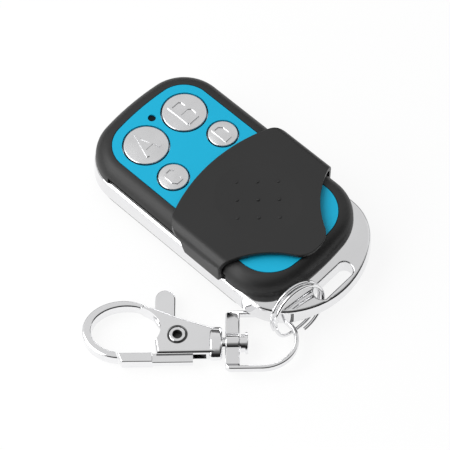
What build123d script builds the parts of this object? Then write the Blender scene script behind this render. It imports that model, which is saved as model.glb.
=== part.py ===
from build123d import *
from math import asin, atan2, cos, degrees, hypot, radians, sin, sqrt
import os

# A four-button radio remote control for a key ring: a black two-part casing in a bright frame,
# a blue face plate, a cover that slides over the buttons, and a trigger clasp on a split ring.
# Millimetres. X runs across the fob, Y along it towards the buttons, Z up out of its face.
# The origin is the middle of the flat back that the fob lies on.

# Casing outline: straight sides, round corners, ends bowed to a large radius
shell_half_width = 16.35
shell_button_end = 31.7
shell_ring_end = 24.85
shell_corner = 10.0
shell_bow = 62.0
frame_proud = 0.52
frame_ring_end = 31.8
frame_ring_corner = 11.5
frame_ring_bow = 20.8
frame_button_proud = 0.6

# Heights above the back
frame_low = 3.5
frame_high = 8.0
face_height = 12.5
plate_thickness = 0.6
draft = 4.0

# Front shell and back cover
shoulder_radius = 3.3
back_radius = 2.2
wall = 0.6
roof = 1.0
floor_thickness = 1.2
skirt_gap = 0.1
skirt_depth = 2.3
frame_wall = 0.95
joint_gap = 0.1

# Face plate
plate_half_width = 12.7
plate_button_end = 28.0
plate_ring_end = 22.1
plate_corner = 6.5
plate_gap = 0.14

# Buttons
large_button_radius = 4.82
small_button_radius = 3.21
large_button_x = 5.81
large_button_y = 20.54
small_button_x = 7.52
small_button_y = 10.79
button_gap = 0.34
button_edge_height = 0.1
button_round = 0.22
dome_height = 0.35
letter_height = 0.16
letter_size = 1.18
letter_stroke = 0.66
flange_width = 0.75
flange_thickness = 0.7
flange_gap = 0.25
button_travel = 0.3
button_stem_radius = 1.6

# Indicator
led_y = 24.57
led_hole_radius = 0.88
light_pipe_gap = 0.05
light_pipe_recess = 0.4
led_size = 1.6
led_height = 0.8

# Slide cover and its guide grooves
cover_half_width = 17.3
cover_top = 14.1
cover_crown = 0.1
cover_corner = 2.4
cover_skin = 0.75
cover_over_face = 0.45
cover_front = 6.9
cover_front_bow = 38.0
cover_corner_start = 0.45
cover_side_lean = 1.5
cover_edge_round = 0.2
cover_tab_end = 23.4
cover_tab_corner = 4.6
scallop_radius = 20.5
scallop_x = 22.35
scallop_y = -31.4
cover_over_buttons = 0.14
cover_rail_gap = 0.15
rail_gap = 0.1
rail_side_gap = 0.15
cover_travel = 21.3
rail_thickness = 1.25
groove_height = 1.9
groove_lip = 0.35
groove_depth = 1.05
groove_lip_depth = 0.55
groove_front = 21.8
groove_rear = 12.6
grip_pitch = 4.4
grip_radius = 0.36
grip_height = 0.22
grip_round = 0.08
grip_y = -6.5
dish_radius = 9.5
dish_depth = 0.22

# Key flange of the frame
flange_bend = 1.6
flange_tip_top = 6.7
flange_tip_low = 4.2
slot_length = 10.6
slot_width = 3.3
slot_x = -0.65
slot_y = -28.5
slot_round = 0.4
upper_round = 0.8
lower_round = 0.25

# Screws
screw_radius = 0.95
screw_head_radius = 1.8
screw_head_height = 1.1
screw_length = 7.0
screw_sink = 0.4
post_radius = 2.1
post_gap = 0.25
top_screw_x = 12.0
top_screw_y = 25.6
ring_screw_x = 10.2
ring_screw_y = -19.4

# Circuit board and what is on it
board_side_gap = 0.6
board_end_gap = 0.75
board_low_end = -8.4
board_thickness = 1.0
board_bottom = 5.4
board_post_radius = 1.4
board_post_inset = 2.5
board_post_rows = (-5.6, 12.0)
switch_size = 4.8
switch_height = 2.3
plunger_radius = 1.0
plunger_gap = 0.08
plunger_bury = 0.7
chip_length = 6.0
chip_width = 4.0
chip_height = 1.5
chip_y = 3.4
can_radius = 2.6
can_height = 1.6
can_x = -8.0
can_y = 1.0
small_chip_length = 2.0
small_chip_width = 1.25
small_chip_height = 0.6
small_chip_pitch_x = 3.1
small_chip_pitch_y = 2.3
right_chips = (8.5, 3.0)
lower_chips = (-3.0, -4.2)
chip_lift = 0.1
leg_width = 0.4
leg_length = 1.4
leg_height = 0.35
can_round = 0.3
trace_width = 0.9
trace_height = 0.15
trace_inset = 1.3
trace_left_end = -2.0
trace_right_end = 8.0
trace_step = 2.6
trace_top_half = 8.6
trace_over_button = 2.2

# Battery and its contacts
battery_radius = 4.0
battery_length = 28.2
battery_y = -13.0
battery_nub_radius = 1.6
battery_nub = 0.8
battery_floor_gap = 0.1
contact_thickness = 0.3
contact_gap = 0.05
contact_width = 4.4
contact_foot = 2.6
contact_foot_length = 3.2
battery_round = 0.35
rib_thickness = 1.0
rib_half_length = 11.0

# Split ring
wire_radius = 0.4
turn_pitch = 1.25
ring_radius = 6.3
ring_pivot_x = -4.4
ring_pivot_y = slot_y - 0.15
ring_heading = 172.5
ring_lean = 13.0
ring_start = 280.0
ring_floor_gap = 0.05

# Trigger clasp: its own axis runs along the swivel, its cross axis points to the gate side
clasp_x = -26.14
clasp_y = -19.21
clasp_heading = 133.5
collar_height = 4.6
collar_width = 7.6
collar_front = 1.3
collar_back = -1.4
collar_round = 0.6
hook_height = 3.0
hook_round = 0.5
band_overlap = 1.0
body_height = 3.7
body_round = 0.8
neck_half_width = 2.95
body_shoulder_s = 8.3
body_shoulder_y = -5.8
body_front_s = 13.0
body_front_y = -7.9
body_horn_s = 15.2
body_horn_y = -8.55
horn_width = 0.8
horn_drop = 1.85
horn_round = 0.3
body_gate_y = 3.0
hook_s = 19.2
hook_y = -2.9
hook_long = 8.4
hook_wide = 6.8
band_side = 1.5
band_end = 1.9
eye_near_s = 11.3
cavity_height = 1.9
cavity_back = 1.9
gate_thickness = 1.7
gate_outer_y = 4.7
gate_inner_y = 2.5
gate_tail_s = 4.6
gate_cap_s = 12.9
gate_cap_height = 2.8
gate_way_s = 12.4
gate_way_y = -0.1
nose_radius = 12.9
nose_gap = 0.3
rivet_s = 7.85
rivet_y = -1.3
rivet_radius = 1.3
rivet_hole = 0.95
rivet_hole_depth = 1.4
rivet_head = 1.7
rivet_head_height = 0.45
rivet_head_round = 0.2
rivet_recess = 2.15
rivet_recess_depth = 0.35
rivet_clear = 0.06
hub_radius = 2.6
lever_s = 10.5
lever_y = -10.4
lever_width = 4.3
lever_root_y = -5.2
lever_thickness = 1.1
gate_round = 0.3
lever_round = 0.35
gate_opens = 20.0
leaf_thickness = 0.25
leaf_gap = 0.1

# Swivel loop and its rivet
loop_bar_back = -2.0
loop_bar = 3.0
loop_bar_height = 2.5
loop_bar_round = 0.35
loop_half_width = 7.0
loop_offset = -0.5
loop_end = 17.2
loop_straight = 9.4
loop_band = 0.95
loop_height = 1.7
loop_roll = -3.0
loop_corner = 1.2
loop_round = 0.38
loop_boss_radius = 2.1
loop_pivot = (-13.9, -28.2, 1.5)
stem_radius = 1.3
stem_clear = 0.07
head_gap = 0.2
head_radius = 1.9
head_flare = 0.45
head_rim = 0.55
head_round = 0.2
head_thickness = 1.5
head_hole = 0.9

# Sizes that follow
roof_under = face_height - plate_thickness - roof
cavity_inset = 2 * skirt_gap + frame_wall + wall
skirt_inset = frame_wall + skirt_gap
flange_bend_y = flange_bend - shell_ring_end
board_half_width = shell_half_width - cavity_inset - board_side_gap
board_high_end = shell_button_end - cavity_inset - board_end_gap
board_corner = shell_corner - cavity_inset - board_side_gap
board_post_x = board_half_width - board_post_inset
board_top = board_bottom + board_thickness
flange_top = roof_under - flange_gap
stem_bottom = board_top + switch_height + 0.9


def outline(half_width, top, top_corner, top_bow, low, low_corner, low_bow, inset=0.0):
    """A closed outline, the same on both sides of X = 0, drawn in by the inset."""
    half_width, top, low = half_width - inset, top - inset, low - inset
    top_corner, low_corner = top_corner - inset, low_corner - inset
    top_bow, low_bow = top_bow - inset, low_bow - inset
    top_centre = top - top_bow
    top_y = top_centre + sqrt((top_bow - top_corner) ** 2 - (half_width - top_corner) ** 2)
    top_angle = degrees(atan2(top_y - top_centre, half_width - top_corner))
    low_centre = low_bow - low
    low_y = low_centre - sqrt((low_bow - low_corner) ** 2 - (half_width - low_corner) ** 2)
    low_angle = degrees(atan2(low_centre - low_y, half_width - low_corner))
    with BuildSketch() as drawn:
        with BuildLine():
            Line((half_width, low_y), (half_width, top_y))
            CenterArc((half_width - top_corner, top_y), top_corner, 0, top_angle)
            CenterArc((0, top_centre), top_bow, top_angle, 90 - top_angle)
            CenterArc((0, low_centre), low_bow, -90, 90 - low_angle)
            CenterArc((half_width - low_corner, low_y), low_corner, -low_angle, low_angle)
            mirror(about=Plane.YZ)
        make_face()
    return drawn.sketch


def shell_outline(inset=0.0):
    return outline(
        shell_half_width, shell_button_end, shell_corner, shell_bow,
        shell_ring_end, shell_corner, shell_bow, inset,
    )


def frame_outline(inset=0.0):
    return outline(
        shell_half_width + frame_proud, shell_button_end + frame_button_proud,
        shell_corner + frame_proud, shell_bow, frame_ring_end, frame_ring_corner,
        frame_ring_bow, inset,
    )


def plate_outline(inset=0.0):
    return outline(
        plate_half_width, plate_button_end, plate_corner, shell_bow,
        plate_ring_end, plate_corner + 1.2, shell_bow, inset,
    )


large_spots = [(-large_button_x, large_button_y), (large_button_x, large_button_y)]
small_spots = [(-small_button_x, small_button_y), (small_button_x, small_button_y)]
screw_spots = [
    (-top_screw_x, top_screw_y), (top_screw_x, top_screw_y),
    (-ring_screw_x, ring_screw_y), (ring_screw_x, ring_screw_y),
]

# Bright frame: a plated ring between the two casings, drawn out into the key flange
with BuildPart() as chrome_frame:
    with BuildSketch(Plane.XY.offset(frame_low)):
        add(frame_outline())
    extrude(amount=frame_high - frame_low, taper=draft)
    with BuildSketch(Plane.YZ):
        with BuildLine():
            top = TangentArc((flange_bend_y, frame_high), (-frame_ring_end, flange_tip_top), tangent=(-1, 0))
            over = TangentArc(top @ 1, (-frame_ring_end - 2, flange_tip_top - 0.7), tangent=top % 1)
            Polyline(over @ 1, (-frame_ring_end - 2, frame_high + 1), (flange_bend_y, frame_high + 1), top @ 0)
        make_face()
        with BuildLine():
            under = TangentArc((flange_bend_y, frame_low), (-frame_ring_end, flange_tip_low), tangent=(-1, 0))
            Polyline(
                under @ 1, (-frame_ring_end - 2, flange_tip_low), (-frame_ring_end - 2, frame_low - 1),
                (flange_bend_y, frame_low - 1), under @ 0,
            )
        make_face()
    extrude(amount=shell_half_width + 3, both=True, mode=Mode.SUBTRACT)
    outer_rims = chrome_frame.edges().filter_by(lambda e: abs(e.tangent_at(0.5).Z) < 0.5)
    outer_rims = outer_rims.filter_by(
        lambda e: abs(e.center().X) > 0.5 or abs(e.center().Y) > shell_ring_end + 1)
    lower_rims = outer_rims.filter_by_position(Axis.Z, frame_low, flange_tip_low)
    fillet(outer_rims.filter_by_position(Axis.Z, flange_tip_top - 0.5, frame_high), upper_round)
    fillet(lower_rims, lower_round)
    with BuildSketch(Plane.XY.offset(frame_low)):
        add(shell_outline(frame_wall))
    extrude(amount=frame_high - frame_low, mode=Mode.SUBTRACT)
    with BuildSketch(Plane.XY.offset(frame_low - 1)):
        with Locations((slot_x, slot_y)):
            SlotOverall(slot_length, slot_width)
    extrude(amount=frame_high, mode=Mode.SUBTRACT)
    slot_edges = chrome_frame.edges().filter_by_position(
        Axis.Y, slot_y - slot_width / 2 - 0.01, slot_y + slot_width / 2 + 0.01)
    slot_edges = slot_edges.filter_by_position(
        Axis.X, slot_x - slot_length / 2 - 0.01, slot_x + slot_length / 2 + 0.01)
    fillet(slot_edges.filter_by(lambda e: abs(e.tangent_at(0.5).Z) < 0.5), slot_round)
chrome_frame.part.label = "chrome_frame"

# Front shell: roof, rounded shoulders, skirt inside the frame, grooves for the cover's rails
with BuildPart() as front_shell:
    with BuildSketch(Plane.XY.offset(frame_high)):
        add(shell_outline())
    extrude(amount=face_height - frame_high, taper=draft)
    fillet(front_shell.faces().sort_by(Axis.Z)[-1].edges(), shoulder_radius)
    with BuildSketch(Plane.XY.offset(frame_high)):
        add(shell_outline(skirt_inset))
    extrude(amount=-skirt_depth)
    with BuildSketch(Plane.XY.offset(frame_high - skirt_depth)):
        add(shell_outline(cavity_inset))
    extrude(amount=roof_under - frame_high + skirt_depth, mode=Mode.SUBTRACT)
    with BuildSketch(Plane.XY.offset(face_height)):
        add(plate_outline(-plate_gap))
    extrude(amount=-plate_thickness, mode=Mode.SUBTRACT)
    with BuildSketch(Plane.XY.offset(roof_under)):
        with Locations(large_spots):
            Circle(large_button_radius + button_gap)
        with Locations(small_spots):
            Circle(small_button_radius + button_gap)
        with Locations((0, led_y)):
            Circle(led_hole_radius + light_pipe_gap)
    extrude(amount=roof, mode=Mode.SUBTRACT)
    with BuildSketch(Plane.XY.offset(frame_high)):
        for side in (-1, 1):
            with Locations((side * (shell_half_width - groove_lip_depth + 1), (groove_front - groove_rear) / 2)):
                Rectangle(2, groove_front + groove_rear)
    extrude(amount=groove_height, mode=Mode.SUBTRACT)
    with BuildSketch(Plane.XY.offset(frame_high + groove_lip)):
        for side in (-1, 1):
            with Locations((side * (shell_half_width - groove_depth + 1), (groove_front - groove_rear) / 2)):
                Rectangle(2, groove_front + groove_rear)
    extrude(amount=groove_height - groove_lip, mode=Mode.SUBTRACT)
    with BuildSketch(Plane.XY.offset(roof_under)):
        with Locations(screw_spots):
            Circle(post_radius)
        add(shell_outline(cavity_inset), mode=Mode.INTERSECT)
    extrude(amount=-(roof_under - board_top), mode=Mode.ADD)
    with BuildSketch(Plane.XY.offset(board_top)):
        with Locations(screw_spots):
            Circle(screw_radius)
    extrude(amount=roof_under - board_top - 1.5, mode=Mode.SUBTRACT)
front_shell.part.label = "front_shell"

# Face plate: thin anodised sheet let into the shell, with holes for buttons and indicator
with BuildPart() as face_plate:
    with BuildSketch(Plane.XY.offset(face_height - plate_thickness)):
        add(plate_outline())
        with Locations(large_spots):
            Circle(large_button_radius + button_gap, mode=Mode.SUBTRACT)
        with Locations(small_spots):
            Circle(small_button_radius + button_gap, mode=Mode.SUBTRACT)
        with Locations((0, led_y)):
            Circle(led_hole_radius, mode=Mode.SUBTRACT)
    extrude(amount=plate_thickness)
face_plate.part.label = "face_plate"

# Back cover: shallow tray with a rounded belly, posts, board supports and battery cradle
with BuildPart() as back_cover:
    with BuildSketch(Plane.XY.offset(frame_low)):
        add(shell_outline(joint_gap))
    extrude(amount=-frame_low, taper=draft)
    fillet(back_cover.faces().sort_by(Axis.Z)[0].edges(), back_radius)
    with BuildSketch(Plane.XY.offset(frame_low)):
        add(shell_outline(skirt_inset))
    extrude(amount=frame_high - frame_low - skirt_depth - joint_gap)
    with BuildSketch(Plane.XY.offset(floor_thickness)):
        add(shell_outline(cavity_inset))
    extrude(amount=frame_high, mode=Mode.SUBTRACT)
    with BuildSketch(Plane.XY.offset(floor_thickness)):
        with Locations(screw_spots):
            Circle(post_radius)
        add(shell_outline(cavity_inset), mode=Mode.INTERSECT)
    extrude(amount=board_top - post_gap - floor_thickness)
    with BuildSketch(Plane.XY.offset(floor_thickness)):
        for row in board_post_rows:
            with Locations((-board_post_x, row), (board_post_x, row)):
                Circle(board_post_radius)
    extrude(amount=board_bottom - floor_thickness)
    with BuildSketch(Plane.XY.offset(floor_thickness)):
        for side in (-1, 1):
            with Locations((0, battery_y + side * (battery_radius - 0.2))):
                Rectangle(2 * rib_half_length, rib_thickness)
    extrude(amount=battery_radius - 1.0)
    with BuildSketch(Plane.YZ):
        with Locations((battery_y, floor_thickness + battery_floor_gap + battery_radius)):
            Circle(battery_radius + battery_floor_gap)
    extrude(amount=rib_half_length + 1, both=True, mode=Mode.SUBTRACT)
    with BuildSketch(Plane.XY):
        with Locations(screw_spots):
            Circle(screw_radius)
    extrude(amount=frame_high, mode=Mode.SUBTRACT)
    with BuildSketch(Plane.XY):
        with Locations(screw_spots):
            Circle(screw_head_radius + 0.15)
    extrude(amount=screw_sink + screw_head_height, mode=Mode.SUBTRACT)
back_cover.part.label = "back_cover"

# Case screws: pan heads sunk in the back, shanks up into the shell's posts
with BuildPart() as case_screws:
    with BuildSketch(Plane.XY.offset(screw_sink)):
        with Locations(screw_spots):
            Circle(screw_head_radius)
    extrude(amount=screw_head_height)
    with BuildSketch(Plane.XY.offset(screw_sink + screw_head_height)):
        with Locations(screw_spots):
            Circle(screw_radius)
    extrude(amount=screw_length)
    with BuildSketch(Plane.XY.offset(screw_sink)):
        with Locations(screw_spots):
            Rectangle(2.2, 0.5)
            Rectangle(0.5, 2.2)
    extrude(amount=0.6, mode=Mode.SUBTRACT)
case_screws.part.label = "case_screws"


def button(centre, radius, strokes):
    """A domed cap with a flange under the roof, a stem, and a raised letter of strokes."""
    x, y = centre
    edge = face_height + button_edge_height
    dome_sphere = (radius ** 2 + dome_height ** 2) / (2 * dome_height)
    with BuildPart() as cap:
        with BuildSketch(Plane.XY.offset(flange_top)):
            with Locations((x, y)):
                Circle(radius)
        extrude(amount=edge + dome_height - flange_top)
        with BuildSketch(Plane.XZ.offset(-y)):
            with BuildLine():
                Polyline(
                    (x, edge + dome_height + 2), (x + radius + 1, edge + dome_height + 2),
                    (x + radius + 1, edge),
                )
                Line((x + radius + 1, edge), (x + radius, edge))
                ThreePointArc(
                    (x + radius, edge),
                    (x + radius / 2,
                     edge + dome_height - dome_sphere + sqrt(dome_sphere ** 2 - radius ** 2 / 4)),
                    (x, edge + dome_height),
                )
                Line((x, edge + dome_height), (x, edge + dome_height + 2))
            make_face()
        revolve(axis=Axis((x, y, 0), (0, 0, 1)), mode=Mode.SUBTRACT)
        fillet(cap.edges().filter_by(lambda e: e.length > radius and abs(e.center().Z - edge) < 0.01),
               button_round)
        with BuildSketch(Plane.XY.offset(flange_top)):
            with Locations((x, y)):
                Circle(radius + flange_width)
        extrude(amount=-flange_thickness)
        with BuildSketch(Plane.XY.offset(stem_bottom)):
            with Locations((x, y)):
                Circle(button_stem_radius)
        extrude(amount=flange_top - flange_thickness - stem_bottom)
        reach = radius * letter_size
        with BuildSketch(Plane.XY.offset(edge)):
            for stroke in strokes:
                with BuildLine():
                    Polyline([(x + u * reach, y + v * reach) for u, v in stroke])
                trace(line_width=letter_stroke * radius / large_button_radius)
        extrude(amount=dome_height + letter_height)
    return cap.part


letter_a = [[(-0.34, -0.45), (0.0, 0.5), (0.34, -0.45)], [(-0.22, -0.12), (0.22, -0.12)]]
letter_b = [
    [(-0.28, -0.5), (-0.28, 0.5), (0.16, 0.5), (0.26, 0.38), (0.26, 0.14), (0.16, 0.02), (-0.28, 0.02)],
    [(0.16, 0.02), (0.32, -0.1), (0.32, -0.38), (0.2, -0.5), (-0.28, -0.5)],
]
letter_c = [[(0.32, 0.28), (0.2, 0.48), (-0.18, 0.48), (-0.34, 0.26), (-0.34, -0.26),
             (-0.18, -0.48), (0.2, -0.48), (0.32, -0.28)]]
letter_d = [[(-0.3, -0.5), (-0.3, 0.5), (0.1, 0.5), (0.32, 0.24), (0.32, -0.24), (0.1, -0.5),
             (-0.3, -0.5)]]

button_a = button(large_spots[0], large_button_radius, letter_a)
button_a.label = "button_a"
button_b = button(large_spots[1], large_button_radius, letter_b)
button_b.label = "button_b"
button_c = button(small_spots[0], small_button_radius, letter_c)
button_c.label = "button_c"
button_d = button(small_spots[1], small_button_radius, letter_d)
button_d.label = "button_d"

# Circuit board, cut away round the two upper screw posts
with BuildPart() as circuit_board:
    with BuildSketch(Plane.XY.offset(board_bottom)):
        with Locations((0, (board_low_end + board_high_end) / 2)):
            Rectangle(2 * board_half_width, board_high_end - board_low_end)
    extrude(amount=board_thickness)
    fillet(circuit_board.edges().filter_by(Axis.Z).group_by(Axis.Y)[-1], board_corner)
    with BuildSketch(Plane.XY.offset(board_bottom)):
        with Locations(screw_spots[:2]):
            Circle(post_radius + post_gap)
    extrude(amount=board_thickness, mode=Mode.SUBTRACT)
circuit_board.part.label = "circuit_board"

# Four square tact switches, each with a bore for its plunger
with BuildPart() as tact_switches:
    with BuildSketch(Plane.XY.offset(board_top)):
        with Locations(large_spots + small_spots):
            Rectangle(switch_size, switch_size)
    extrude(amount=switch_height)
    with BuildSketch(Plane.XY.offset(board_top + switch_height)):
        with Locations(large_spots + small_spots):
            Circle(plunger_radius + plunger_gap)
    extrude(amount=-plunger_bury - button_travel - 0.1, mode=Mode.SUBTRACT)
tact_switches.part.label = "tact_switches"


def plunger(centre):
    """The round plunger of one switch, standing under its button's stem."""
    with BuildPart() as pin:
        with BuildSketch(Plane.XY.offset(board_top + switch_height - plunger_bury)):
            with Locations(centre):
                Circle(plunger_radius)
        extrude(amount=stem_bottom - board_top - switch_height + plunger_bury)
    return pin.part


plungers = [plunger(spot) for spot in large_spots + small_spots]
for name, pin in zip("abcd", plungers):
    pin.label = "switch_plunger_" + name

# Indicator: a small lamp on the board and a dark window in the face above it
with BuildPart() as indicator_led:
    with BuildSketch(Plane.XY.offset(board_top)):
        with Locations((0, led_y)):
            Rectangle(led_size, led_size)
    extrude(amount=led_height)
indicator_led.part.label = "indicator_led"

with BuildPart() as light_pipe:
    with BuildSketch(Plane.XY.offset(board_top + led_height + 0.1)):
        with Locations((0, led_y)):
            Circle(led_hole_radius - light_pipe_gap)
    extrude(amount=face_height - light_pipe_recess - board_top - led_height - 0.1)
    with BuildSketch(Plane.XY.offset(roof_under)):
        with Locations((0, led_y)):
            Circle(led_hole_radius + 0.4)
    extrude(amount=-0.8)
light_pipe.part.label = "light_pipe"

# Parts on the board
with BuildPart() as encoder_chip:
    with BuildSketch(Plane.XY.offset(board_top + chip_lift)):
        with Locations((0, chip_y)):
            Rectangle(chip_length, chip_width)
    extrude(amount=chip_height)
    with BuildSketch(Plane.XY.offset(board_top)):
        with Locations((0, chip_y)):
            with GridLocations(chip_length / 4, chip_width + leg_length - leg_width, 4, 2):
                Rectangle(leg_width, leg_length)
    extrude(amount=leg_height)
encoder_chip.part.label = "encoder_chip"

with BuildPart() as resonator_can:
    with BuildSketch(Plane.XY.offset(board_top)):
        with Locations((can_x, can_y)):
            Circle(can_radius)
    extrude(amount=can_height)
    fillet(resonator_can.faces().sort_by(Axis.Z)[-1].edges(), can_round)
resonator_can.part.label = "resonator_can"

with BuildPart() as chip_components:
    with BuildSketch(Plane.XY.offset(board_top)):
        with Locations(right_chips):
            with GridLocations(small_chip_pitch_x, small_chip_pitch_y, 3, 3):
                Rectangle(small_chip_length, small_chip_width)
        with Locations(lower_chips):
            with GridLocations(small_chip_pitch_x, small_chip_pitch_y, 4, 2):
                Rectangle(small_chip_length, small_chip_width)
    extrude(amount=small_chip_height)
chip_components.part.label = "chip_components"

trace_x = board_half_width - trace_inset
trace_bend_y = large_button_y + trace_over_button
with BuildPart() as antenna_loop:
    with BuildSketch(Plane.XY.offset(board_top)):
        with BuildLine():
            Polyline(
                (-trace_x, trace_left_end), (-trace_x, trace_bend_y), (trace_step - trace_x, trace_bend_y),
                (-trace_top_half, board_high_end - trace_inset),
                (trace_top_half, board_high_end - trace_inset),
                (trace_x - trace_step, trace_bend_y), (trace_x, trace_bend_y), (trace_x, trace_right_end),
            )
        trace(line_width=trace_width)
    extrude(amount=trace_height)
antenna_loop.part.label = "antenna_loop"

# Battery across the casing, held between two sprung contact strips
battery_z = floor_thickness + battery_floor_gap + battery_radius
with BuildPart() as battery:
    with BuildSketch(Plane.YZ.offset(-battery_length / 2)):
        with Locations((battery_y, battery_z)):
            Circle(battery_radius)
    extrude(amount=battery_length - battery_nub)
    fillet(battery.edges().filter_by(GeomType.CIRCLE), battery_round)
    with BuildSketch(Plane.YZ.offset(battery_length / 2 - battery_nub)):
        with Locations((battery_y, battery_z)):
            Circle(battery_nub_radius)
    extrude(amount=battery_nub)
battery.part.label = "battery"


def contact(side):
    """A strip that stands at one end of the battery, with a foot on the board."""
    inner = battery_length / 2 + contact_gap
    foot_y = board_low_end + contact_foot / 2 + 0.1
    with BuildPart() as strip:
        with BuildSketch(Plane.XY.offset(board_top)):
            with Locations((side * (inner + contact_thickness - contact_foot_length / 2), foot_y)):
                Rectangle(contact_foot_length, contact_foot)
        extrude(amount=contact_thickness)
        with BuildSketch(Plane.YZ.offset(side * (inner + contact_thickness / 2))):
            with BuildLine():
                Polyline(
                    (battery_y - contact_width / 2, battery_z - contact_width / 2),
                    (battery_y + contact_width / 2, battery_z - contact_width / 2),
                    (battery_y + contact_width / 2, board_top),
                    (foot_y + contact_foot / 2, board_top),
                    (foot_y + contact_foot / 2, board_top + contact_thickness),
                    (battery_y + contact_width / 2, board_top + contact_thickness),
                    (battery_y - contact_width / 2, battery_z + contact_width / 2), close=True,
                )
            make_face()
        extrude(amount=contact_thickness / 2, both=True)
    return strip.part


battery_contact_positive = contact(1)
battery_contact_positive.label = "battery_contact_positive"
battery_contact_negative = contact(-1)
battery_contact_negative.label = "battery_contact_negative"

# Slide cover: an arched skin over the face, with rails that run in the shell's grooves
crest = cover_top - cover_crown
corner_z = crest - cover_corner
flat_half = cover_half_width - cover_corner
inner_x = cover_half_width - cover_skin
inner_corner = cover_corner - cover_skin
under_cover = face_height + cover_over_face
under_buttons = face_height + button_edge_height + dome_height + letter_height + cover_over_buttons
button_zone = large_button_x + large_button_radius + 0.5
cover_low = frame_high + cover_rail_gap
rail_low = frame_high + groove_lip + rail_gap
rail_inner = shell_half_width - groove_depth + rail_side_gap
rail_front = groove_front - cover_travel - rail_side_gap
bow_end_x = flat_half - cover_corner_start
front_corner = cover_front_bow * (cover_half_width - bow_end_x) / (cover_front_bow - bow_end_x)
front_corner_y = cover_front - cover_front_bow + sqrt(
    (cover_front_bow - front_corner) ** 2 - (cover_half_width - front_corner) ** 2)
with BuildPart() as slide_cover:
    with BuildSketch(Plane.XZ.offset(cover_tab_end + 1)):
        with BuildLine():
            Line((-cover_half_width, cover_low), (cover_half_width, cover_low))
            Line((cover_half_width, cover_low), (cover_half_width, corner_z))
            CenterArc((flat_half, corner_z), cover_corner, 0, 90)
            ThreePointArc((flat_half, crest), (0, cover_top), (-flat_half, crest))
            CenterArc((-flat_half, corner_z), cover_corner, 90, 90)
            Line((-cover_half_width, corner_z), (-cover_half_width, cover_low))
        make_face()
    extrude(amount=-(cover_tab_end + cover_front + 3))
    with BuildSketch(Plane.XZ.offset(cover_tab_end + 2)):
        with BuildLine():
            Line((0, cover_low - 1), (inner_x, cover_low - 1))
            Line((inner_x, cover_low - 1), (inner_x, under_cover - inner_corner))
            CenterArc((inner_x - inner_corner, under_cover - inner_corner), inner_corner, 0, 90)
            Line((inner_x - inner_corner, under_cover), (0, under_cover))
            Line((0, under_cover), (0, cover_low - 1))
        make_face()
        mirror(about=Plane.YZ)
    extrude(amount=-(cover_tab_end + cover_front + 6), mode=Mode.SUBTRACT)
    with BuildSketch(Plane.XY.offset(face_height)):
        with Locations((0, (cover_front - cover_tab_end) / 2)):
            Rectangle(2 * button_zone, 2 * (cover_front + cover_tab_end))
    extrude(amount=under_buttons - face_height, mode=Mode.SUBTRACT)
    with BuildSketch(Plane.XY.offset(rail_low)):
        for side in (-1, 1):
            with Locations((side * (rail_inner + inner_x + 0.2) / 2, (rail_front - cover_tab_end) / 2)):
                Rectangle(inner_x + 0.2 - rail_inner, rail_front + cover_tab_end)
    extrude(amount=rail_thickness)
    # plan of the cover: bowed front edge, two scallops and the rear tab
    with BuildSketch(Plane.XY.offset(cover_low - 2)) as plan:
        with Locations((0, -cover_tab_end / 2)):
            Rectangle(3 * cover_half_width, cover_tab_end + 4 * cover_front)
        with BuildSketch(mode=Mode.PRIVATE) as kept:
            with Locations((0, cover_front - cover_front_bow)):
                Circle(cover_front_bow)
            with Locations((0, -cover_tab_end / 2)):
                Rectangle(2 * cover_half_width, cover_tab_end + 3 * cover_front, mode=Mode.INTERSECT)
            fillet(kept.vertices().group_by(Axis.Y)[-1], front_corner)
            with Locations((-scallop_x, scallop_y), (scallop_x, scallop_y)):
                Circle(scallop_radius, mode=Mode.SUBTRACT)
            with Locations((0, -cover_tab_end - 10)):
                Rectangle(3 * cover_half_width, 20, mode=Mode.SUBTRACT)
            fillet(kept.vertices().group_by(Axis.Y)[0], cover_tab_corner)
        add(kept.sketch, mode=Mode.SUBTRACT)
    extrude(amount=cover_top, mode=Mode.SUBTRACT)
    # the front edge of each side wall leans back towards the frame
    with BuildSketch(Plane.YZ):
        with BuildLine():
            Polyline(
                (front_corner_y, corner_z), (front_corner_y - cover_side_lean, cover_low),
                (front_corner_y - cover_side_lean, cover_low - 3), (cover_front + 3, cover_low - 3),
                (cover_front + 3, corner_z), close=True,
            )
        make_face()
    extrude(amount=2 * cover_half_width, both=True, mode=Mode.SUBTRACT)
    # every cut edge of the outer surface is rounded, from one side wall over the top to the other
    rims = slide_cover.edges().filter_by(lambda e: hypot(
        max(abs(e.center().X) - flat_half, 0), max(e.center().Z - corner_z, 0)) > cover_corner - 0.02)
    rims = rims.filter_by(lambda e: abs(e.tangent_at(0.5).Y) < 0.99)
    front_reach = front_corner_y - cover_side_lean - 0.1
    front_rim = rims.filter_by(lambda e: e.center().Y > front_reach)
    rear_rim = rims.filter_by(lambda e: e.center().Y < front_reach)
    fillet(front_rim, cover_edge_round)
    fillet(rear_rim, cover_edge_round)
    # shallow round dish for the thumb, with nine grip dots in a grid set cornerwise
    dish_sphere = (dish_radius ** 2 + dish_depth ** 2) / (2 * dish_depth)
    with Locations((0, grip_y, cover_top - dish_depth + dish_sphere)):
        Sphere(dish_sphere, mode=Mode.SUBTRACT)
    with BuildSketch(Plane.XY.offset(cover_top - cover_skin / 2)):
        with Locations(Location((0, grip_y, 0), (0, 0, 45))):
            with GridLocations(grip_pitch, grip_pitch, 3, 3):
                Circle(grip_radius)
    extrude(amount=cover_skin / 2 - dish_depth + grip_height)
    dot_tops = slide_cover.faces().filter_by(Axis.Z).filter_by(
        lambda f: abs(f.center().Z - (cover_top - dish_depth + grip_height)) < 0.01)
    fillet(dot_tops.edges(), grip_round)
slide_cover.part.label = "slide_cover"

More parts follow.
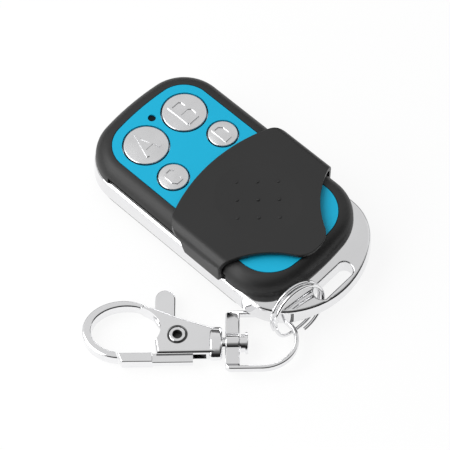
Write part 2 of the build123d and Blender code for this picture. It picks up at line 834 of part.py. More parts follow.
# Split ring: one springy wire wound almost twice, lying flat but for the step between turns
flange_middle = (flange_tip_top + flange_tip_low) / 2
heading = radians(ring_heading)
lean = radians(ring_lean)
ring_out = Vector(cos(heading), sin(heading), 0)
ring_side = Vector(sin(heading), -cos(heading), 0)
ring_up = Vector(0, 0, cos(lean)) + ring_side * sin(lean)
ring_normal = ring_side * cos(lean) - Vector(0, 0, sin(lean))
ring_centre_z = ring_radius * cos(lean) + wire_radius + turn_pitch / 2 * sin(lean) + ring_floor_gap
ring_rise = (ring_centre_z - flange_middle) / cos(lean)
ring_pivot = Vector(ring_pivot_x, ring_pivot_y, flange_middle)
ring_centre = ring_pivot + ring_out * sqrt(ring_radius ** 2 - ring_rise ** 2) + ring_up * ring_rise


def ring_point(angle, level):
    """A point on the wire's middle: 0 degrees in the key slot, 90 at the top."""
    turn = radians(angle)
    return (ring_centre - ring_out * (ring_radius * cos(turn)) + ring_up * (ring_radius * sin(turn))
            + ring_normal * level)


def ring_tangent(angle):
    turn = radians(angle)
    return ring_out * sin(turn) + ring_up * cos(turn)


def quarter_turns(first, count, level):
    """Quarter arcs of one flat turn, from the first angle on."""
    for k in range(count):
        start = first + 90 * k
        ThreePointArc(ring_point(start, level), ring_point(start + 45, level), ring_point(start + 90, level))


def step_between_turns(angle):
    """Two tangent arcs over a quarter turn, from the outer turn to the inner one."""
    start, end = ring_point(angle, -turn_pitch / 2), ring_point(angle + 90, turn_pitch / 2)
    first, last = ring_tangent(angle), ring_tangent(angle + 90)
    chord = end - start
    both = first + last
    a = 2 * (1 - first.dot(last))
    b = 2 * chord.dot(both)
    reach = (-b + sqrt(b * b + 4 * a * chord.dot(chord))) / (2 * a)
    joint = (start + first * reach + end - last * reach) * 0.5
    along = (end - last * reach) - (start + first * reach)
    TangentArc(start, joint, tangent=first)
    TangentArc(joint, end, tangent=along)


with BuildPart() as split_ring:
    with BuildLine() as ring_path:
        Line(ring_point(ring_start, -turn_pitch / 2) - ring_tangent(ring_start) * 2 * wire_radius,
             ring_point(ring_start, -turn_pitch / 2))
        quarter_turns(ring_start, 3, -turn_pitch / 2)
        step_between_turns(ring_start - 90)
        quarter_turns(ring_start, 3, turn_pitch / 2)
        Line(ring_point(ring_start - 90, turn_pitch / 2),
             ring_point(ring_start - 90, turn_pitch / 2) + ring_tangent(ring_start - 90) * 2 * wire_radius)
    with BuildSketch(Plane(origin=ring_path.line @ 0, z_dir=ring_path.line % 0)):
        Circle(wire_radius)
    sweep()
split_ring.part.label = "split_ring"

samples = 400
wire_points = [ring_path.line @ (k / samples) for k in range(samples + 1)]
apart = int(samples * 0.2)
least_gap = min(
    (wire_points[i] - wire_points[j]).length
    for i in range(samples + 1) for j in range(i + apart, samples + 1)
) - 2 * wire_radius
print("split ring: least gap of the wire to itself", round(least_gap, 3), "mm")

# Clasp frame: origin on the swivel axis inside the collar, first axis towards the hook's end,
# second axis towards the gate side; the hook's end and the collar touch the ground
hook_reach = hook_s + hook_long
eye_s = (hook_reach - band_end + eye_near_s) / 2
eye_long = (hook_reach - band_end - eye_near_s) / 2
eye_wide = hook_wide - band_side
clasp_tilt = asin((collar_height - hook_height) / 2 / hook_reach)
clasp_turn = radians(clasp_heading)
clasp_z = collar_height / 2 * cos(clasp_tilt) + collar_front * sin(clasp_tilt)
clasp_plane = Plane(
    origin=(clasp_x, clasp_y, clasp_z),
    x_dir=(cos(clasp_turn) * cos(clasp_tilt), sin(clasp_turn) * cos(clasp_tilt), -sin(clasp_tilt)),
    z_dir=(cos(clasp_turn) * sin(clasp_tilt), sin(clasp_turn) * sin(clasp_tilt), cos(clasp_tilt)),
)


def across(s):
    """A plane square to the swivel axis at the distance s along it."""
    return Plane(origin=clasp_plane.origin + clasp_plane.x_dir * s,
                 x_dir=clasp_plane.y_dir, z_dir=clasp_plane.x_dir)


def hook_band():
    """The oval band of the hook, rounded like a cast bar, before its mouth is cut."""
    with BuildPart() as band:
        with BuildSketch(clasp_plane):
            with Locations((hook_s, hook_y)):
                Ellipse(hook_long, hook_wide)
            with Locations((eye_s, hook_y)):
                Ellipse(eye_long, eye_wide, mode=Mode.SUBTRACT)
            with Locations((body_horn_s - band_overlap - hook_long, hook_y)):
                Rectangle(2 * hook_long, 3 * hook_wide, mode=Mode.SUBTRACT)
        extrude(amount=hook_height / 2, both=True)
        fillet(band.edges().filter_by(lambda e: e.length > eye_long), hook_round)
    return band.part


def swivel_collar():
    """The round collar that the swivel's stem is fixed in."""
    with BuildPart() as ring:
        with BuildSketch(across(collar_back)):
            Ellipse(collar_width / 2, collar_height / 2)
        extrude(amount=collar_front - collar_back)
        fillet(ring.edges().filter_by(lambda e: e.length > collar_height), collar_round)
    return ring.part


# Clasp body: one casting with collar, hollow body for the gate, and the open hook
with BuildPart() as clasp_body:
    with BuildSketch(clasp_plane):
        with BuildLine():
            Polyline(
                (0, -neck_half_width), (body_shoulder_s, body_shoulder_y), (body_front_s, body_front_y),
                (body_horn_s, body_horn_y), (body_horn_s + horn_width, body_horn_y + horn_drop),
                (body_front_s, hook_y), (body_front_s - 0.9, body_gate_y), (0, neck_half_width),
                close=True,
            )
        make_face()
        fillet(vertices().group_by(Axis.X)[-2:], horn_round)
    extrude(amount=body_height / 2, both=True)
    fillet(clasp_body.faces().sort_by(Axis.Z)[-1].edges() + clasp_body.faces().sort_by(Axis.Z)[0].edges(),
           body_round)
    with BuildSketch(clasp_plane):
        with Locations((eye_s, hook_y)):
            Ellipse(eye_long, eye_wide)
    extrude(amount=body_height, both=True, mode=Mode.SUBTRACT)
    add(hook_band())
    with BuildSketch(clasp_plane):
        with Locations((rivet_s, rivet_y)):
            Circle(nose_radius + nose_gap)
        with Locations((hook_s, gate_way_y + hook_wide)):
            Rectangle(2 * (hook_s - gate_way_s), 2 * hook_wide, mode=Mode.INTERSECT)
    extrude(amount=body_height, both=True, mode=Mode.SUBTRACT)
    with BuildSketch(clasp_plane):
        with Locations(((cavity_back + body_front_s - 0.1) / 2, -2)):
            Rectangle(body_front_s - 0.1 - cavity_back, 20)
    extrude(amount=cavity_height / 2, both=True, mode=Mode.SUBTRACT)
    add(swivel_collar())
    with BuildSketch(across(collar_back)):
        Circle(stem_radius)
    extrude(amount=collar_front - collar_back - 0.1, mode=Mode.SUBTRACT)
    with BuildSketch(clasp_plane):
        with Locations((rivet_s, rivet_y)):
            Circle(rivet_radius)
    extrude(amount=body_height, both=True, mode=Mode.SUBTRACT)
    for side in (-1, 1):
        with BuildSketch(clasp_plane.offset(side * body_height / 2)):
            with Locations((rivet_s, rivet_y)):
                Circle(rivet_recess)
        extrude(amount=-side * rivet_recess_depth, mode=Mode.SUBTRACT)
clasp_body.part.label = "clasp_body"

# Clasp rivet: a short pin, hollowed and turned over at both ends
rivet_seat = body_height / 2 - rivet_recess_depth
rivet_face = rivet_seat + rivet_head_height
with BuildPart() as clasp_rivet:
    with BuildSketch(clasp_plane):
        with Locations((rivet_s, rivet_y)):
            Circle(rivet_radius)
    extrude(amount=rivet_seat, both=True)
    for side in (-1, 1):
        with BuildSketch(clasp_plane.offset(side * rivet_seat)):
            with Locations((rivet_s, rivet_y)):
                Circle(rivet_head)
        extrude(amount=side * rivet_head_height)
    for side in (-1, 1):
        with BuildSketch(clasp_plane.offset(side * rivet_face)):
            with Locations((rivet_s, rivet_y)):
                Circle(rivet_hole)
        extrude(amount=-side * rivet_hole_depth, mode=Mode.SUBTRACT)
    head_edges = clasp_rivet.edges().filter_by(
        lambda e: abs(clasp_plane.to_local_coords(e.center()).Z) > rivet_face - 0.01)
    fillet(head_edges, rivet_head_round)
clasp_rivet.part.label = "clasp_rivet"

# Gate: bar that shuts the hook, hub on the rivet, and the thumb lever on the other side
with BuildPart() as clasp_gate:
    with BuildSketch(clasp_plane):
        with Locations((rivet_s, rivet_y)):
            Circle(hub_radius)
        with BuildLine():
            Polyline(
                (gate_tail_s, gate_inner_y), (rivet_s - hub_radius * 0.9, rivet_y),
                (rivet_s + hub_radius * 0.9, rivet_y), (body_front_s - 1.0, gate_inner_y), close=True,
            )
        make_face()
        with Locations(((gate_tail_s + gate_cap_s + 1) / 2, (gate_inner_y + gate_outer_y) / 2)):
            Rectangle(gate_cap_s + 1 - gate_tail_s, gate_outer_y - gate_inner_y)
    extrude(amount=gate_thickness / 2, both=True)
    bar_edges = clasp_gate.edges().filter_by(
        lambda e: clasp_plane.to_local_coords(e.center()).Y > gate_inner_y - 0.1)
    fillet(bar_edges.filter_by(lambda e: abs(e.tangent_at(0.5).dot(clasp_plane.x_dir)) > 0.9), gate_round)
    with BuildSketch(clasp_plane):
        with Locations((rivet_s, rivet_y)):
            Circle(nose_radius)
        with Locations((gate_cap_s + 5, (gate_inner_y + gate_outer_y) / 2)):
            Rectangle(10, gate_outer_y - gate_inner_y, mode=Mode.INTERSECT)
    extrude(amount=gate_cap_height / 2, both=True)
    cap_edges = clasp_gate.edges().filter_by(
        lambda e: abs(clasp_plane.to_local_coords(e.center()).Z) > gate_cap_height / 2 - 0.01)
    fillet(cap_edges, gate_round)
    with BuildSketch(clasp_plane):
        with Locations((lever_s, lever_y)):
            Circle(lever_width / 2)
        with BuildLine():
            Polyline(
                (lever_s - lever_width / 2, lever_y), (lever_s + lever_width / 2, lever_y),
                (lever_s + lever_width / 2, lever_root_y), (rivet_s + hub_radius * 0.9, rivet_y),
                (rivet_s - hub_radius * 0.6, rivet_y), (lever_s - lever_width / 2, lever_root_y), close=True,
            )
        make_face()
    extrude(amount=lever_thickness / 2, both=True)
    lever_edges = clasp_gate.edges().filter_by(
        lambda e: clasp_plane.to_local_coords(e.center()).Y < lever_root_y - 1)
    fillet(lever_edges, lever_round)
    with BuildSketch(clasp_plane):
        with Locations((rivet_s, rivet_y)):
            Circle(rivet_radius + rivet_clear)
    extrude(amount=body_height, both=True, mode=Mode.SUBTRACT)
clasp_gate.part.label = "clasp_gate"

# Leaf spring: foot flat on the back of the hollow, tip against the gate's hub
leaf_back = cavity_back + leaf_thickness / 2
leaf_front = rivet_s - hub_radius - leaf_gap - leaf_thickness / 2
with BuildPart() as gate_spring:
    with BuildSketch(clasp_plane):
        with BuildLine():
            Polyline((leaf_back, rivet_y - 1.1), (leaf_back, rivet_y + 2.2),
                     (leaf_front - 0.1, rivet_y + 0.9), (leaf_front, rivet_y - 0.9))
        trace(line_width=leaf_thickness)
    extrude(amount=gate_thickness / 2 - 0.1, both=True)
gate_spring.part.label = "gate_spring"

# Swivel loop: a D-shaped loop whose thick bar turns on the swivel rivet
roll = radians(loop_roll)
loop_plane = Plane(
    origin=clasp_plane.origin,
    x_dir=clasp_plane.x_dir,
    z_dir=clasp_plane.z_dir * cos(roll) + clasp_plane.y_dir * sin(roll),
)
loop_bar_front = loop_bar_back - loop_bar


def half_oval(length, half_width):
    """The half of an oval that lies beyond the loop's straight sides."""
    with BuildSketch() as drawn:
        with Locations((-loop_straight, loop_offset)):
            Ellipse(length, half_width)
        with Locations((-loop_straight + length, loop_offset)):
            Rectangle(2 * length, 3 * half_width, mode=Mode.SUBTRACT)
    return drawn.sketch


with BuildPart() as swivel_loop:
    with BuildSketch(loop_plane):
        with Locations(((loop_bar_back - loop_straight) / 2, loop_offset)):
            Rectangle(loop_straight + loop_bar_back, 2 * loop_half_width)
        add(half_oval(loop_end - loop_straight, loop_half_width))
        fillet(vertices().group_by(Axis.X)[-1], loop_corner)
        with Locations(((loop_bar_front - loop_straight) / 2, loop_offset)):
            Rectangle(loop_straight + loop_bar_front, 2 * (loop_half_width - loop_band), mode=Mode.SUBTRACT)
        add(half_oval(loop_end - loop_straight - loop_band, loop_half_width - loop_band), mode=Mode.SUBTRACT)
    extrude(amount=loop_height / 2, both=True)
    fillet(swivel_loop.edges().filter_by(lambda e: abs(e.tangent_at(0.5).dot(loop_plane.z_dir)) < 0.5), loop_round)
    with BuildSketch(loop_plane):
        with Locations((loop_bar_back - loop_bar / 2, loop_offset)):
            Rectangle(loop_bar, 2 * (loop_half_width - loop_band))
    extrude(amount=loop_bar_height / 2, both=True)
    with BuildSketch(across(loop_bar_front)):
        Circle(loop_boss_radius)
    extrude(amount=loop_bar)
    bar_edges = swivel_loop.edges().filter_by(
        lambda e: abs(loop_plane.to_local_coords(e.center()).Z) > loop_bar_height / 2 - 0.01)
    fillet(bar_edges.filter_by(lambda e: abs(e.tangent_at(0.5).dot(loop_plane.y_dir)) > 0.9), loop_bar_round)
    with BuildSketch(across(loop_bar_front - 1)):
        Circle(stem_radius + stem_clear)
    extrude(amount=loop_bar + 2, mode=Mode.SUBTRACT)
swivel_loop.part.label = "swivel_loop"

# Swivel rivet: stem fixed in the collar, flared hollow head inside the loop
head_end = loop_bar_front - head_gap - head_thickness
with BuildPart() as swivel_rivet:
    with BuildSketch(across(collar_front - 0.1)):
        Circle(stem_radius)
    extrude(amount=-(collar_front - 0.1 - loop_bar_front + head_gap))
    with BuildSketch(across(loop_bar_front - head_gap)):
        Circle(head_radius)
    extrude(amount=-head_thickness)
    with BuildSketch(across(head_end + head_rim)):
        Circle(head_radius + head_flare)
    extrude(amount=-head_rim)
    fillet(swivel_rivet.faces().sort_by(Axis(clasp_plane.origin, clasp_plane.x_dir))[0].edges(), head_round)
    with BuildSketch(across(head_end)):
        Circle(head_hole)
    extrude(amount=head_thickness * 0.9, mode=Mode.SUBTRACT)
swivel_rivet.part.label = "swivel_rivet"

# Where the moving pieces slide and turn, in millimetres and degrees
gate_pivot = clasp_plane.origin + clasp_plane.x_dir * rivet_s + clasp_plane.y_dir * rivet_y
print("cover: slides", cover_travel, "along +Y; each button goes down", button_travel)
print("ring: turns about +Z at", ring_pivot)
print("loop: turns about +Z on the ring at", loop_pivot)
print("clasp: turns round at", clasp_plane.origin, "about", clasp_plane.x_dir)
print("gate: opens", gate_opens, "at", gate_pivot, "about", -clasp_plane.z_dir)

parts = {
    "split_ring": split_ring.part,
    "clasp_body": clasp_body.part,
    "clasp_rivet": clasp_rivet.part,
    "clasp_gate": clasp_gate.part,
    "gate_spring": gate_spring.part,
    "swivel_loop": swivel_loop.part,
    "swivel_rivet": swivel_rivet.part,
    "chrome_frame": chrome_frame.part,
    "front_shell": front_shell.part,
    "face_plate": face_plate.part,
    "back_cover": back_cover.part,
    "case_screws": case_screws.part,
    "button_a": button_a,
    "button_b": button_b,
    "button_c": button_c,
    "button_d": button_d,
    "circuit_board": circuit_board.part,
    "tact_switches": tact_switches.part,
    "indicator_led": indicator_led.part,
    "light_pipe": light_pipe.part,
    "encoder_chip": encoder_chip.part,
    "resonator_can": resonator_can.part,
    "chip_components": chip_components.part,
    "antenna_loop": antenna_loop.part,
    "battery": battery.part,
    "battery_contact_positive": battery_contact_positive,
    "battery_contact_negative": battery_contact_negative,
    "slide_cover": slide_cover.part,
}
for name, pin in zip("abcd", plungers):
    parts["switch_plunger_" + name] = pin

os.makedirs("parts", exist_ok=True)
for name, piece in parts.items():
    export_step(piece, "parts/" + name + ".step")
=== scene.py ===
import math
import bpy
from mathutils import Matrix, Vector

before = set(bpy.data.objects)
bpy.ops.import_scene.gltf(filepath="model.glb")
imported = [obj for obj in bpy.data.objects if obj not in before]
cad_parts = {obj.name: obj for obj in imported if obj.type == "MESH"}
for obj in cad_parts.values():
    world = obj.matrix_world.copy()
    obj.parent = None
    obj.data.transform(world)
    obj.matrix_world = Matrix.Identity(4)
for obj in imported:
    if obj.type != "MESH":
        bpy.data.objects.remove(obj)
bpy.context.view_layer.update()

# The view of the remote: seen from its left front corner and from well above, with a long lens,
# so that its sides stay almost parallel. The camera looks at the table just left of its middle.
looked_at = Vector((-0.00313, 0.0, 0.0))
turn = math.radians(-46.44)
climb = math.radians(58.88)
distance = 0.45
film_width = 36.0
focal_length = 168.1
nearest_seen = 0.01
camera = bpy.data.objects.new("camera", bpy.data.cameras.new("camera"))
bpy.context.collection.objects.link(camera)
camera.location = looked_at + distance * Vector((
    math.sin(turn) * math.cos(climb),
    -math.cos(turn) * math.cos(climb),
    math.sin(climb),
))
camera.rotation_euler = (looked_at - camera.location).to_track_quat("-Z", "Y").to_euler()
camera.data.sensor_width = film_width
camera.data.lens = focal_length
camera.data.clip_start = nearest_seen
bpy.context.scene.camera = camera
bpy.context.scene.view_settings.view_transform = "Standard"


# The table is a smooth white sheet, lit to plain white, on which the remote leaves a faint shadow.
# It lies a hair below the remote's back, so that the two never share a plane. Its finish is the
# first that is made of nodes, so the two classes that write them stand here.
class Level:
    """A value or colour inside a finish. Sums and products of values add the Math nodes."""

    def __init__(self, finish, socket):
        self.finish = finish
        self.socket = socket

    def _maths(self, operation, first, second):
        return self.finish.node("ShaderNodeMath", {"operation": operation}, {0: first, 1: second})

    def __add__(self, other):
        return self._maths("ADD", self, other)

    def __rsub__(self, other):
        return self._maths("SUBTRACT", other, self)

    def __mul__(self, other):
        return self._maths("MULTIPLY", self, other)

    __radd__ = __add__
    __rmul__ = __mul__


class Finish:
    """The nodes of one material, or of the studio's world, filled in with plain expressions."""

    def __init__(self, owner):
        owner.use_nodes = True
        self.owner = owner
        self.tree = owner.node_tree

    def node(self, kind, settings, sockets, output=0):
        """Adds a node: its settings first, then the values or links of its sockets."""
        made = self.tree.nodes.new(kind)
        for name, value in settings.items():
            if name == "stops":
                ramp = made.color_ramp
                while len(ramp.elements) < len(value):
                    ramp.elements.new(0.5)
                for element, (place, shade) in zip(ramp.elements, value):
                    element.position = place
                    element.color = (shade, shade, shade, 1.0)
            else:
                setattr(made, name, value)
        for name, value in sockets.items():
            self.feed(made.inputs[name], value)
        return Level(self, made.outputs[output])

    def feed(self, socket, value):
        """Links a value of this finish to a socket, or sets the socket to a plain number or colour."""
        if isinstance(value, Level):
            self.tree.links.new(value.socket, socket)
        else:
            socket.default_value = value

    def shade(self, **sockets):
        """Feeds the material's own shader, where Base_Color stands for its socket Base Color."""
        shader = self.tree.nodes["Principled BSDF"]
        for name, value in sockets.items():
            self.feed(shader.inputs[name.replace("_", " ")], value)

    def place(self):
        """A point of the piece, in metres, that moves with the piece."""
        return self.node("ShaderNodeTexCoord", {}, {}, "Object")

    def noise(self, size, detail=2.0, rough=0.5):
        """Soft noise from 0 to 1 whose patches are about size metres wide."""
        return self.node("ShaderNodeTexNoise", {}, {
            "Vector": self.place(), "Scale": 1.0 / size, "Detail": detail, "Roughness": rough})

    def mix(self, share, first, second):
        """A colour between two colours: the first where share is 0, the second where it is 1."""
        return self.node("ShaderNodeMix", {"data_type": "RGBA"},
                         {0: share, 6: first, 7: second}, 2)

    def bump(self, height, depth):
        """The surface's normal over a relief of this height, at most depth metres deep."""
        return self.node("ShaderNodeBump", {}, {"Height": height, "Distance": depth})

    def paint(self, *nodes):
        """Gives this finish to CAD nodes, which keep their meshes."""
        for name in nodes:
            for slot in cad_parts[name].material_slots:
                slot.material = self.owner


def new_finish(name):
    return Finish(bpy.data.materials.new(name))


table_size = 1.8
below_back = 0.00002
white = (1.0, 1.0, 1.0, 1.0)
sheet_white = (0.9, 0.9, 0.9, 1.0)
glow_strength = 1.03
glow_share = 0.85
bpy.ops.mesh.primitive_plane_add(size=table_size, location=(0.0, 0.0, -below_back))
table = bpy.context.object
table.name = "table"
sheet = new_finish("white_sheet")
sheet.shade(Base_Color=sheet_white, Roughness=0.6)
straight = sheet.node("ShaderNodeLightPath", {}, {}, "Is Camera Ray")
mirrored = sheet.node("ShaderNodeLightPath", {}, {}, "Is Glossy Ray")
through = sheet.node("ShaderNodeLightPath", {}, {}, "Is Transmission Ray")
glow = sheet.node("ShaderNodeEmission", {}, {"Color": white, "Strength": glow_strength})
lit_sheet = Level(sheet, sheet.tree.nodes["Principled BSDF"].outputs[0])
seen_sheet = sheet.node("ShaderNodeMixShader", {}, {
    0: (straight + mirrored + through) * glow_share, 1: lit_sheet, 2: glow})
sheet.feed(sheet.tree.nodes["Material Output"].inputs["Surface"], seen_sheet)
table.data.materials.append(sheet.owner)

# The studio: a white room with a dark skirting all round and a dark side behind the camera, so
# that bright metal has something to show. One broad lamp hangs above and behind the remote, and
# one stands at its left.
room = Finish(bpy.data.worlds.new("studio"))
bpy.context.scene.world = room.owner
outward = room.node("ShaderNodeTexCoord", {}, {}, "Generated")
height = room.node("ShaderNodeSeparateXYZ", {}, {0: outward}, "Z")


def side_of_room(toward, corner, middle):
    """1 on the side of the room that lies toward this direction, fading to 0 at its corner."""
    facing = room.node("ShaderNodeVectorMath", {"operation": "DOT_PRODUCT"},
                       {0: outward, 1: toward}, "Value")
    return room.node("ShaderNodeMapRange", {"interpolation_type": "SMOOTHSTEP"},
                     {"Value": facing, "From Min": corner, "From Max": middle})


def wall(*shades):
    """A wall's shade of grey at each height, from 0 at the floor to 1 straight overhead."""
    return room.node("ShaderNodeValToRGB", {"stops": shades}, {0: height})


near_wall = wall((0.0, 0.3), (0.03, 0.01), (0.55, 0.02), (0.85, 0.2), (1.0, 0.7))
far_wall = wall((0.0, 0.2), (0.04, 0.02), (0.2, 0.05), (0.45, 0.7), (0.8, 0.82), (1.0, 0.7))
side_walls = wall((0.0, 0.02), (0.13, 0.02), (0.17, 0.92), (0.35, 0.9), (0.7, 0.75), (1.0, 0.7))
near_side = side_of_room(toward=(-0.35, -0.94, 0.0), corner=0.1, middle=0.5)
far_side = side_of_room(toward=(0.72, 0.69, 0.0), corner=0.55, middle=0.85)
walls = room.mix(near_side, room.mix(far_side, side_walls, far_wall), near_wall)
backdrop = room.node("ShaderNodeLightPath", {}, {}, "Is Camera Ray")
room.feed(room.tree.nodes["Background"].inputs["Color"], room.mix(backdrop, walls, white))


def softbox(name, spot, aim, width, depth, power):
    lamp = bpy.data.objects.new(name, bpy.data.lights.new(name, "AREA"))
    bpy.context.collection.objects.link(lamp)
    lamp.data.shape = "RECTANGLE"
    lamp.data.size = width
    lamp.data.size_y = depth
    lamp.data.energy = power
    lamp.location = spot
    lamp.rotation_euler = (Vector(aim) - Vector(spot)).to_track_quat("-Z", "Y").to_euler()


softbox("overhead_lamp", spot=(-0.24, 0.26, 0.42), aim=(0.0, 0.0, 0.0),
        width=0.36, depth=0.36, power=1.3)
softbox("left_lamp", spot=(-0.42, 0.14, 0.18), aim=(0.0, 0.0, 0.01),
        width=0.4, depth=0.24, power=0.7)


# Bright frame: a plated ring between the two casing halves, drawn out at one end into the key
# flange. The plating is polished nickel and chrome, with a slight ripple and haze, and the split
# ring, the loop and the clasp have it too.
def bright_plate(name, tone, ripple_size, ripple_depth, haze, shade_mask_of=None):
    plate = new_finish(name)
    ripple = plate.noise(size=ripple_size, detail=1.0)
    clouding = plate.noise(size=0.006, detail=3.0)
    colour = plate.mix(clouding, (tone, tone, tone * 1.01, 1.0),
                       (tone + 0.06, tone + 0.06, tone + 0.07, 1.0))
    dullness = 0.04 + haze * clouding
    # Where a mask is given, a painted shade darkens and dulls the plate inside it.
    if shade_mask_of:
        painted_shade_share = shade_mask_of(plate)
        colour = plate.mix(painted_shade_share, colour, (0.08, 0.08, 0.08, 1.0))
        dullness = dullness + 0.2 * painted_shade_share
    plate.shade(Base_Color=colour, Metallic=1.0, Roughness=dullness,
                Normal=plate.bump(ripple, ripple_depth))
    return plate


frame_plate = bright_plate("polished_frame_plate", tone=0.80, ripple_size=0.008,
                           ripple_depth=0.00002, haze=0.05)
frame_plate.paint("chrome_frame")


# Black casing halves and sliding cover: satin ABS from a finely etched mould, faintly smudged by
# handling. The cover is the smoother of the two mouldings, and it slides in the shell's grooves.
def black_plastic(name, tone, dullness, etch_size, etch_depth):
    plastic = new_finish(name)
    handled = plastic.noise(size=0.012, detail=3.0)
    etching = plastic.noise(size=etch_size, rough=0.6)
    smudged = tone * 1.25
    plastic.shade(
        Base_Color=plastic.mix(handled, (tone, tone, tone * 1.02, 1.0),
                               (smudged, smudged, smudged, 1.0)),
        Roughness=dullness + 0.07 * handled,
        Normal=plastic.bump(etching, etch_depth),
    )
    return plastic


shell_plastic = black_plastic("etched_black_shell", tone=0.012, dullness=0.44,
                              etch_size=0.00022, etch_depth=0.000004)
shell_plastic.paint("front_shell", "back_cover")
cover_plastic = black_plastic("satin_black_cover", tone=0.012, dullness=0.36,
                              etch_size=0.00016, etch_depth=0.000003)
cover_plastic.paint("slide_cover")


# Steel of the case screws, battery contacts, resonator can and the clasp's leaf spring: zinc or
# nickel plated, with fine scratches from the tools that formed it.
def plated_steel(name, tone):
    steel = new_finish(name)
    scratches = steel.noise(size=0.0004, detail=4.0, rough=0.7)
    steel.shade(
        Base_Color=steel.mix(scratches, (tone * 0.85, tone * 0.86, tone * 0.88, 1.0),
                             (tone, tone, tone, 1.0)),
        Metallic=1.0,
        Roughness=0.22 + 0.2 * scratches,
        Normal=steel.bump(scratches, 0.000005),
    )
    return steel


plated_steel("zinc_plated_screws", tone=0.55).paint("case_screws")
plated_steel("resonator_can_steel", tone=0.7).paint("resonator_can")
plated_steel("nickel_spring_steel", tone=0.62).paint(
    "battery_contact_positive", "battery_contact_negative", "gate_spring")

# Circuit board: glass laminate under green lacquer, held on supports in the back cover. Its
# aerial is a track of tinned copper along the board's edge.
green = (0.01, 0.10, 0.035, 1.0)
pale_green = (0.02, 0.16, 0.06, 1.0)
lacquer = new_finish("green_board_lacquer")
weave = lacquer.noise(size=0.0005)
lacquer.shade(Base_Color=lacquer.mix(weave, green, pale_green), Roughness=0.3 + 0.1 * weave)
lacquer.paint("circuit_board")
copper = (0.62, 0.36, 0.2, 1.0)
tin = (0.72, 0.66, 0.58, 1.0)
tinned = new_finish("tinned_copper")
tin_patches = tinned.noise(size=0.0012, detail=3.0)
tinned.shade(Base_Color=tinned.mix(tin_patches, copper, tin), Metallic=1.0,
             Roughness=0.25 + 0.2 * tin_patches)
tinned.paint("antenna_loop")

# Switches, their plungers, the encoder chip and the small components: matte black moulding
# compound with a fine speckle, soldered to the board.
compound_black = (0.012, 0.012, 0.013, 1.0)
compound_grey = (0.04, 0.04, 0.04, 1.0)
compound = new_finish("matte_moulding_compound")
speckle = compound.noise(size=0.0003)
compound.shade(
    Base_Color=compound.mix(speckle, compound_black, compound_grey),
    Roughness=0.55 + 0.15 * speckle,
    Normal=compound.bump(speckle, 0.000004),
)
compound.paint("tact_switches", "encoder_chip", "chip_components",
               "switch_plunger_a", "switch_plunger_b", "switch_plunger_c", "switch_plunger_d")

# Battery: a steel can in a shrunk sleeve of plain glossy film, held between its two contacts
# across the casing.
gold = (0.42, 0.33, 0.08, 1.0)
pale_gold = (0.52, 0.42, 0.12, 1.0)
sleeve = new_finish("shrunk_battery_sleeve")
wrinkles = sleeve.noise(size=0.002)
sleeve.shade(Base_Color=sleeve.mix(wrinkles, gold, pale_gold), Roughness=0.18 + 0.1 * wrinkles,
             Normal=sleeve.bump(wrinkles, 0.00001))
sleeve.paint("battery")

# Indicator: a small clear lamp on the board, and over it a plug of smoked plastic in the face
# plate's hole, which looks almost black while the lamp is off.
cloudy_resin = (0.7, 0.68, 0.6, 1.0)
clear_resin = (0.85, 0.84, 0.8, 1.0)
lamp_body = new_finish("clear_lamp_body")
lamp_body.shade(Base_Color=lamp_body.mix(lamp_body.noise(size=0.0006), cloudy_resin, clear_resin),
                Roughness=0.25)
lamp_body.paint("indicator_led")
smoke = (0.001, 0.006, 0.009, 1.0)
thin_smoke = (0.003, 0.01, 0.014, 1.0)
smoked = new_finish("smoked_window")
smoked.shade(Base_Color=smoked.mix(smoked.noise(size=0.0008), smoke, thin_smoke),
             Roughness=0.12, Specular_IOR_Level=0.15)
smoked.paint("light_pipe")

# Button caps: moulded, metallised and satin lacquered, with a polished rim and raised letters.
# Each hangs by its flange under the shell's roof.
silver = (0.72, 0.72, 0.73, 1.0)
bright_silver = (0.84, 0.84, 0.85, 1.0)
cap_lacquer = new_finish("satin_silver_cap")
sparkle = cap_lacquer.noise(size=0.0002, detail=1.0)
patches = cap_lacquer.noise(size=0.003)
cap_lacquer.shade(
    Base_Color=cap_lacquer.mix(patches, silver, bright_silver),
    Metallic=1.0,
    Roughness=0.24 + 0.1 * sparkle,
    Normal=cap_lacquer.bump(sparkle, 0.000005),
)
cap_lacquer.paint("button_a", "button_b", "button_c", "button_d")

# Face plate: thin aluminium sheet, blasted and anodised bright blue, glued into its recess in
# the shell.
deep_blue = (0.008, 0.455, 0.715, 1.0)
pale_blue = (0.01, 0.485, 0.755, 1.0)
blue_sheet = new_finish("blue_anodised_sheet")
blasting = blue_sheet.noise(size=0.00012, detail=1.0)
clouds = blue_sheet.noise(size=0.02)
blue_sheet.shade(
    Base_Color=blue_sheet.mix(clouds, deep_blue, pale_blue),
    Roughness=0.4 + 0.12 * blasting,
    Specular_IOR_Level=0.2,
    Normal=blue_sheet.bump(blasting, 0.000003),
)
blue_sheet.paint("face_plate")

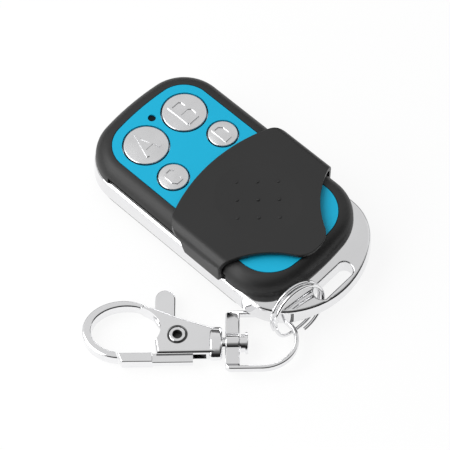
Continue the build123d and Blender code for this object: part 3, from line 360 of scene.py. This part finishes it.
# Split ring and swivel loop: the ring is two turns of drawn wire, smooth and polished, and the
# loop on it is cast, so its reflections wander a little.
ring_plate = bright_plate("polished_ring_wire", tone=0.80, ripple_size=0.002,
                          ripple_depth=0.000004, haze=0.06)
ring_plate.paint("split_ring")
loop_plate = bright_plate("cast_loop_plate", tone=0.82, ripple_size=0.003,
                          ripple_depth=0.00002, haze=0.1)
loop_plate.paint("swivel_loop")

# Clasp rivet: turned steel pin, bright on its turned-over rims, with a painted shade that darkens
# and dulls its bores. The clasp's gate turns on it.
bright_steel = (0.86, 0.86, 0.87, 1.0)
# The dark grey of the painted shade inside the pin's bore.
bore_shade_colour = (0.06, 0.06, 0.06, 1.0)
pin_corners = [Vector(corner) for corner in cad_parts["clasp_rivet"].bound_box]
pin_middle = sum(pin_corners, Vector()) / len(pin_corners)


def near_pin(finish, radius, blur):
    """1 within radius of the pin's axis and 0 outside it, softened over blur metres."""
    across = finish.node("ShaderNodeVectorMath", {"operation": "MULTIPLY"},
                         {0: finish.place(), 1: (1.0, 1.0, 0.0)})
    from_axis = finish.node("ShaderNodeVectorMath", {"operation": "DISTANCE"},
                            {0: across, 1: (pin_middle.x, pin_middle.y, 0.0)}, "Value")
    return finish.node("ShaderNodeMapRange", {"interpolation_type": "SMOOTHSTEP"}, {
        "Value": from_axis, "From Min": radius + blur / 2, "From Max": radius - blur / 2})


turned_pin = new_finish("turned_rivet_pin")
# Painted shade: the pin is dark and dull within this radius of its axis, inside its bore.
painted_bore_shade = near_pin(turned_pin, radius=0.00105, blur=0.00014)
turned_pin.shade(
    Base_Color=turned_pin.mix(painted_bore_shade, bright_steel, bore_shade_colour),
    Metallic=1.0 - 0.6 * painted_bore_shade,
    Roughness=0.06 + 0.4 * painted_bore_shade,
)
turned_pin.paint("clasp_rivet")


# Clasp body, gate and swivel rivet: the body is cast, the gate is stamped, and both are plated
# brighter than the rest. A painted shade darkens and dulls the body's groove round the clasp rivet's
# head.
# The mask of the painted shade in the body's groove round the clasp rivet's head.
def rivet_groove_shade(finish):
    return near_pin(finish, radius=0.00212, blur=0.0001)


clasp_plate = bright_plate("cast_clasp_plate", tone=0.86, ripple_size=0.003,
                           ripple_depth=0.00002, haze=0.1, shade_mask_of=rivet_groove_shade)
clasp_plate.paint("clasp_body")
gate_plate = bright_plate("stamped_gate_plate", tone=0.86, ripple_size=0.004,
                          ripple_depth=0.00001, haze=0.08)
gate_plate.paint("clasp_gate", "swivel_rivet")
